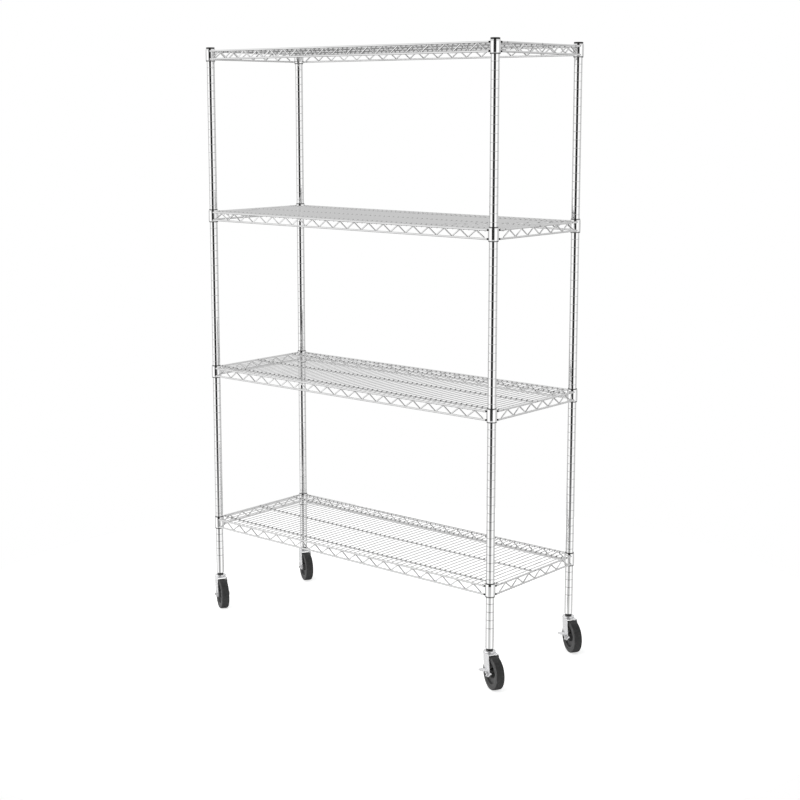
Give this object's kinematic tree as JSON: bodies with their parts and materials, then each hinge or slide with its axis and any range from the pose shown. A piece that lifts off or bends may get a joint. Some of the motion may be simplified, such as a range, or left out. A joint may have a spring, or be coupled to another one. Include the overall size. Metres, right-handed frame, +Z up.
{
  "type": "wheeled wire shelving rack",
  "caption": "Free-standing open wire shelving rack on swivel casters: grooved tubular posts carry wire-grid shelves on wedge collars.",
  "frame": {"origin": "on the floor, midway between the four posts", "axes": "+Z up along the posts, +X along the long side, +Y from the front to the rear"},
  "size_m": [1.282, 0.4988, 1.9257],
  "materials": {
    "chrome_tube": "bright chrome plate on steel tube",
    "chrome_wire": "bright chrome plate on welded steel wire",
    "chrome_collar": "bright chrome plate on pressed steel",
    "zinc_steel": "bright zinc plate on stamped steel",
    "bearing_steel": "plain ground steel",
    "black_plastic": "moulded black plastic",
    "wheel_plastic": "moulded dark grey plastic",
    "black_rubber": "solid black rubber, fine moulded rings"
  },
  "bodies": {
    "rack": {"post_front_left": "chrome_tube", "post_rear_left": "chrome_tube", "post_front_right": "chrome_tube", "post_rear_right": "chrome_tube", "post_caps": "black_plastic", "post_sockets": "black_plastic", "caster_stems": "zinc_steel", "swivel_balls": "bearing_steel", "shelf_1_deck": "chrome_wire", "shelf_1_front_truss": "chrome_wire", "shelf_1_rear_truss": "chrome_wire", "shelf_1_left_truss": "chrome_wire", "shelf_1_right_truss": "chrome_wire", "shelf_1_collars": "chrome_collar", "shelf_1_split_sleeves": "black_plastic", "shelf_2_deck": "chrome_wire", "shelf_2_front_truss": "chrome_wire", "shelf_2_rear_truss": "chrome_wire", "shelf_2_left_truss": "chrome_wire", "shelf_2_right_truss": "chrome_wire", "shelf_2_collars": "chrome_collar", "shelf_2_split_sleeves": "black_plastic", "shelf_3_deck": "chrome_wire", "shelf_3_front_truss": "chrome_wire", "shelf_3_rear_truss": "chrome_wire", "shelf_3_left_truss": "chrome_wire", "shelf_3_right_truss": "chrome_wire", "shelf_3_collars": "chrome_collar", "shelf_3_split_sleeves": "black_plastic", "shelf_4_deck": "chrome_wire", "shelf_4_front_truss": "chrome_wire", "shelf_4_rear_truss": "chrome_wire", "shelf_4_left_truss": "chrome_wire", "shelf_4_right_truss": "chrome_wire", "shelf_4_collars": "chrome_collar", "shelf_4_split_sleeves": "black_plastic"},
    "front_left_swivel_fork": {"front_left_fork": "zinc_steel", "front_left_axle_bolt": "zinc_steel", "front_left_axle_bush": "bearing_steel"},
    "front_left_wheel": {"front_left_wheel_core": "wheel_plastic", "front_left_tyre": "black_rubber"},
    "rear_left_swivel_fork": {"rear_left_fork": "zinc_steel", "rear_left_axle_bolt": "zinc_steel", "rear_left_axle_bush": "bearing_steel"},
    "rear_left_wheel": {"rear_left_wheel_core": "wheel_plastic", "rear_left_tyre": "black_rubber"},
    "front_right_swivel_fork": {"front_right_fork": "zinc_steel", "front_right_axle_bolt": "zinc_steel", "front_right_axle_bush": "bearing_steel"},
    "front_right_wheel": {"front_right_wheel_core": "wheel_plastic", "front_right_tyre": "black_rubber"},
    "front_right_brake": {"front_right_brake_lever": "zinc_steel"},
    "rear_right_swivel_fork": {"rear_right_fork": "zinc_steel", "rear_right_axle_bolt": "zinc_steel", "rear_right_axle_bush": "bearing_steel"},
    "rear_right_wheel": {"rear_right_wheel_core": "wheel_plastic", "rear_right_tyre": "black_rubber"},
    "rear_right_brake": {"rear_right_brake_lever": "zinc_steel"}
  },
  "joints": [
    {"name": "front_left_swivel", "type": "hinge", "parent": "rack", "child": "front_left_swivel_fork", "pos_m": [-0.59, -0.211, 0.107], "axis": [0, 0, 1], "continuous": true},
    {"name": "front_left_roll", "type": "hinge", "parent": "front_left_swivel_fork", "child": "front_left_wheel", "pos_m": [-0.56243, -0.22724, 0.0508], "axis": [0.5075, 0.8616, 0], "continuous": true},
    {"name": "rear_left_swivel", "type": "hinge", "parent": "rack", "child": "rear_left_swivel_fork", "pos_m": [-0.59, 0.211, 0.107], "axis": [0, 0, 1], "continuous": true},
    {"name": "rear_left_roll", "type": "hinge", "parent": "rear_left_swivel_fork", "child": "rear_left_wheel", "pos_m": [-0.56243, 0.19476, 0.0508], "axis": [0.5075, 0.8616, 0], "continuous": true},
    {"name": "front_right_swivel", "type": "hinge", "parent": "rack", "child": "front_right_swivel_fork", "pos_m": [0.59, -0.211, 0.107], "axis": [0, 0, 1], "continuous": true},
    {"name": "front_right_roll", "type": "hinge", "parent": "front_right_swivel_fork", "child": "front_right_wheel", "pos_m": [0.61825, -0.22602, 0.0508], "axis": [0.4695, 0.8829, 0], "continuous": true},
    {"name": "front_right_brake", "type": "hinge", "parent": "front_right_swivel_fork", "child": "front_right_brake", "pos_m": [0.61825, -0.22602, 0.0508], "axis": [-0.4695, -0.8829, 0], "range_deg": [0, 30]},
    {"name": "rear_right_swivel", "type": "hinge", "parent": "rack", "child": "rear_right_swivel_fork", "pos_m": [0.59, 0.211, 0.107], "axis": [0, 0, 1], "continuous": true},
    {"name": "rear_right_roll", "type": "hinge", "parent": "rear_right_swivel_fork", "child": "rear_right_wheel", "pos_m": [0.61714, 0.19404, 0.0508], "axis": [0.5299, 0.848, 0], "continuous": true},
    {"name": "rear_right_brake", "type": "hinge", "parent": "rear_right_swivel_fork", "child": "rear_right_brake", "pos_m": [0.61714, 0.19404, 0.0508], "axis": [-0.5299, -0.848, 0], "range_deg": [0, 30]}
  ]
}
